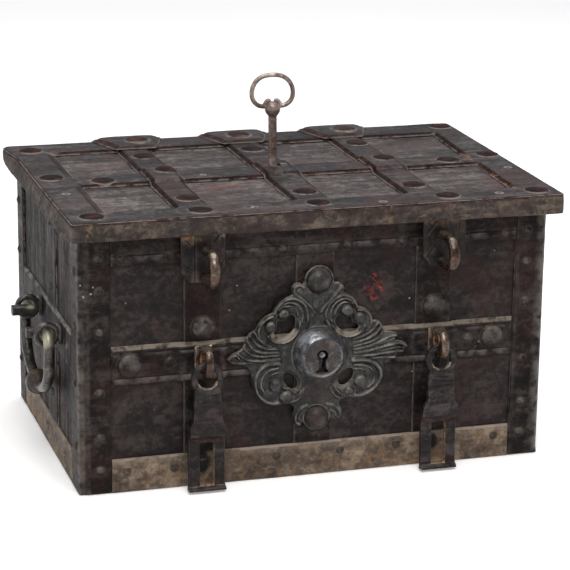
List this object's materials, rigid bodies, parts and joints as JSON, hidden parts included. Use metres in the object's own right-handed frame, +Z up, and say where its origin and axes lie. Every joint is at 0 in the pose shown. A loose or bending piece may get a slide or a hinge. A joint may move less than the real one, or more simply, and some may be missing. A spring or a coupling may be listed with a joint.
{
  "type": "iron strongbox",
  "caption": "Iron chest of riveted plates and straps with a hinged lid, two hasps, two drop handles, a blind front keyhole and a key-worked lock under the lid.",
  "frame": {"origin": "on the underside, in the middle of the lid's outline seen from above", "axes": "+Z up, +X to the right seen from the front, +Y to the back; the front with the escutcheon faces -Y"},
  "size_m": [0.503, 0.3451, 0.3502],
  "materials": {
    "body_iron": "dark brown-black forged iron, uneven",
    "strap_iron": "dark forged iron with dust on its edges",
    "foot_iron": "dusty brown iron with ochre rust",
    "lid_iron": "grey-brown worn iron with reddish bevels",
    "lid_band_iron": "dusty brown iron with ochre rust spots",
    "worn_iron": "hand-polished brown iron",
    "relief_iron": "blackened relief with bluish bare highlights",
    "lock_steel": "filed steel, dulled with old oil",
    "key_steel": "brown-patinated steel"
  },
  "bodies": {
    "chest": {"bottom_plate": "body_iron", "front_plate": "body_iron", "back_plate": "body_iron", "left_plate": "body_iron", "right_plate": "body_iron", "rim_flange": "strap_iron", "corner_angle_front_left": "strap_iron", "corner_angle_front_right": "strap_iron", "corner_angle_back_left": "strap_iron", "corner_angle_back_right": "strap_iron", "front_top_strap": "strap_iron", "front_middle_strap": "strap_iron", "front_bottom_strap": "foot_iron", "front_upright_left": "strap_iron", "front_upright_centre": "strap_iron", "front_upright_right": "strap_iron", "left_cross_strap": "strap_iron", "left_bottom_strap": "foot_iron", "right_cross_strap": "strap_iron", "right_bottom_strap": "foot_iron", "back_bottom_strap": "foot_iron", "hinge_lower_leaf_left": "strap_iron", "hinge_lower_leaf_centre": "strap_iron", "hinge_lower_leaf_right": "strap_iron", "hinge_pin_left": "lock_steel", "hinge_pin_centre": "lock_steel", "hinge_pin_right": "lock_steel", "hasp_staple_left": "worn_iron", "hasp_staple_right": "worn_iron", "left_handle_eye_front": "worn_iron", "left_handle_eye_back": "worn_iron", "right_handle_eye_front": "worn_iron", "right_handle_eye_back": "worn_iron", "escutcheon": "relief_iron", "escutcheon_boss": "relief_iron"},
    "lid": {"lid_plate": "lid_iron", "lid_edge_band": "lid_band_iron", "lid_border_strap": "lid_iron", "lid_cross_strap_left": "lid_iron", "lid_cross_strap_centre": "lid_iron", "lid_cross_strap_right": "lid_iron", "lid_middle_strap": "lid_iron", "hinge_upper_leaf_left": "lid_iron", "hinge_upper_leaf_centre": "lid_iron", "hinge_upper_leaf_right": "lid_iron", "upper_staple_left": "worn_iron", "upper_staple_right": "worn_iron", "lock_plate": "lock_steel"},
    "hub": {"lock_hub": "lock_steel"},
    "key": {"key": "key_steel"},
    "slide": {"lock_slide": "lock_steel"},
    "lever_left": {"lock_lever_left": "lock_steel"},
    "lever_right": {"lock_lever_right": "lock_steel"},
    "bolt_left": {"lock_bolt_left": "lock_steel"},
    "bolt_right": {"lock_bolt_right": "lock_steel"},
    "hasp_left": {"hasp_left": "worn_iron"},
    "hasp_right": {"hasp_right": "worn_iron"},
    "handle_left": {"left_handle": "worn_iron"},
    "handle_right": {"right_handle": "worn_iron"}
  },
  "joints": [
    {"name": "lid_hinge", "type": "hinge", "parent": "chest", "child": "lid", "pos_m": [0, 0.1588, 0.248], "axis": [-1, 0, 0], "range_deg": [0, 100]},
    {"name": "hub_turn", "type": "hinge", "parent": "lid", "child": "hub", "pos_m": [-0.0025, 0.004, 0.244], "axis": [0, 0, -1], "range_deg": [0, 90]},
    {"name": "key_pull", "type": "slide", "parent": "hub", "child": "key", "axis": [0, 0, 1], "range_m": [0, 0.03]},
    {"name": "slide_throw", "type": "slide", "parent": "lid", "child": "slide", "axis": [0, -1, 0], "range_m": [0, 0.013]},
    {"name": "lever_left_swing", "type": "hinge", "parent": "lid", "child": "lever_left", "pos_m": [-0.069, 0.03, 0.24], "axis": [0, 0, -1], "range_deg": [0, 16.61]},
    {"name": "lever_right_swing", "type": "hinge", "parent": "lid", "child": "lever_right", "pos_m": [0.069, 0.03, 0.24], "axis": [0, 0, 1], "range_deg": [0, 16.61]},
    {"name": "bolt_left_throw", "type": "slide", "parent": "lid", "child": "bolt_left", "axis": [-1, 0, 0], "range_m": [0, 0.013]},
    {"name": "bolt_right_throw", "type": "slide", "parent": "lid", "child": "bolt_right", "axis": [1, 0, 0], "range_m": [0, 0.013]},
    {"name": "hasp_left_swing", "type": "hinge", "parent": "chest", "child": "hasp_left", "pos_m": [-0.1075, -0.15, 0.12], "axis": [-1, 0, 0], "range_deg": [0, 175]},
    {"name": "hasp_right_swing", "type": "hinge", "parent": "chest", "child": "hasp_right", "pos_m": [0.1145, -0.15, 0.12], "axis": [-1, 0, 0], "range_deg": [0, 175]},
    {"name": "handle_left_swing", "type": "hinge", "parent": "chest", "child": "handle_left", "pos_m": [-0.2345, -0.014, 0.131], "axis": [0, 1, 0], "range_deg": [0, 100]},
    {"name": "handle_right_swing", "type": "hinge", "parent": "chest", "child": "handle_right", "pos_m": [0.2345, -0.014, 0.131], "axis": [0, -1, 0], "range_deg": [0, 100]}
  ],
  "couplings": [
    {"joint": "hub_turn", "follows": "slide_throw", "rad_per_m": 120.83},
    {"joint": "bolt_left_throw", "follows": "slide_throw", "ratio": 1},
    {"joint": "bolt_right_throw", "follows": "slide_throw", "ratio": 1},
    {"joint": "lever_left_swing", "follows": "slide_throw", "rad_per_m": 22.296},
    {"joint": "lever_right_swing", "follows": "slide_throw", "rad_per_m": 22.296}
  ]
}
